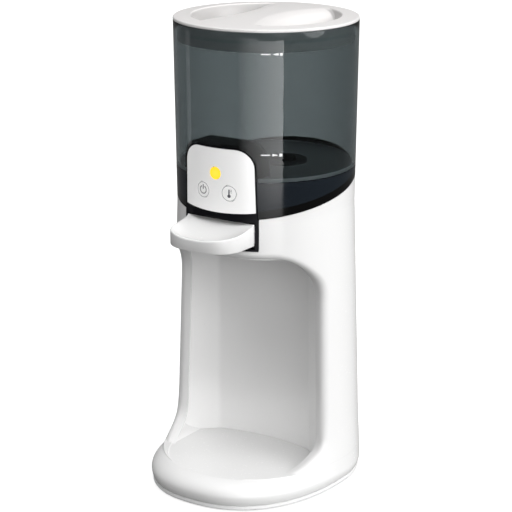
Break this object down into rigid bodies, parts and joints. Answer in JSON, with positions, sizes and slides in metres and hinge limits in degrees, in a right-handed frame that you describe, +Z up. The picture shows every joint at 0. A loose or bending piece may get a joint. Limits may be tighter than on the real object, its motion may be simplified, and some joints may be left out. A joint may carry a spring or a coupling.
{
  "type": "instant bottle warmer",
  "caption": "Countertop warmer that holds warm water in a lift-off smoky tank and fills a bottle in its open nook when a lever is pressed",
  "frame": {"origin": "middle of the bounding box, on the ground plane under the rubber feet", "axes": "+Z up; the front with the lever and the panel faces -Y; +X is to the right of a viewer who faces the front"},
  "size_m": [0.1424, 0.169, 0.3422],
  "materials": {
    "shell": "gloss white moulded plastic",
    "liner": "satin white moulded plastic",
    "plate": "plain light grey plastic",
    "lid": "satin warm light grey plastic",
    "black": "gloss black plastic",
    "smoke": "clear smoky grey plastic",
    "rubber": "soft dark rubber",
    "silicone": "soft pale silicone",
    "steel": "plain stainless steel",
    "board": "green circuit board",
    "amber": "clear amber light guide",
    "heater": "mica and steel heater jacket"
  },
  "bodies": {
    "base": {"base_plate": "plate", "boiler": "steel", "boiler_stand": "black", "control_board": "board", "control_housing": "black", "control_panel": "shell", "cord_gland": "rubber", "dispense_valve": "black", "foot_front_left": "rubber", "foot_front_right": "rubber", "foot_rear_left": "rubber", "foot_rear_right": "rubber", "heater_band": "heater", "inlet_tube": "silicone", "lever_bezel": "black", "lever_pin": "steel", "lever_spring": "steel", "lever_switch": "black", "nook_liner": "liner", "outer_housing": "shell", "outlet_tube": "silicone", "power_board": "board", "power_switch": "black", "screw_front_left": "steel", "screw_front_right": "steel", "screw_rear_left": "steel", "screw_rear_right": "steel", "spout_nozzle": "silicone", "status_light": "amber", "tank_seat": "black", "temperature_sensor": "steel", "temperature_switch": "black", "thermal_fuse": "steel"},
    "tank": {"tank_shell": "smoke", "valve_body": "black", "valve_seal": "silicone", "valve_spring": "steel"},
    "valve_plunger": {"valve_plunger": "steel"},
    "lid": {"lid": "lid", "lid_seal": "silicone"},
    "lever": {"lever": "shell"},
    "switch_button": {"switch_button": "black"},
    "power_button": {"power_button": "shell"},
    "temperature_button": {"temperature_button": "shell"}
  },
  "joints": [
    {"name": "tank_lift", "type": "slide", "parent": "base", "child": "tank", "axis": [0, 0, 1], "range_m": [0, 0.06]},
    {"name": "lid_lift", "type": "slide", "parent": "tank", "child": "lid", "axis": [0, 0, 1], "range_m": [0, 0.04]},
    {"name": "valve_travel", "type": "slide", "parent": "tank", "child": "valve_plunger", "axis": [0, 0, 1], "range_m": [0, 0.0015], "stiffness_N_per_m": 120, "springref_m": -0.003, "deforming": ["valve_spring"]},
    {"name": "lever_press", "type": "hinge", "parent": "base", "child": "lever", "pos_m": [0, -0.0293, 0.1954], "axis": [1, 0, 0], "range_deg": [0, 5], "stiffness_Nm_per_rad": 0.25, "springref_deg": -5.73, "deforming": ["lever_spring"]},
    {"name": "switch_travel", "type": "slide", "parent": "base", "child": "switch_button", "axis": [0, 0, 1], "range_m": [0, 0.0014]},
    {"name": "power_press", "type": "slide", "parent": "base", "child": "power_button", "axis": [0, 1, 0], "range_m": [0, 0.0008], "stiffness_N_per_m": 600, "springref_m": -0.001},
    {"name": "temperature_press", "type": "slide", "parent": "base", "child": "temperature_button", "axis": [0, 1, 0], "range_m": [0, 0.0008], "stiffness_N_per_m": 600, "springref_m": -0.001}
  ],
  "couplings": [
    {"joint": "switch_travel", "follows": "lever_press", "m_per_rad": 0.0152}
  ]
}
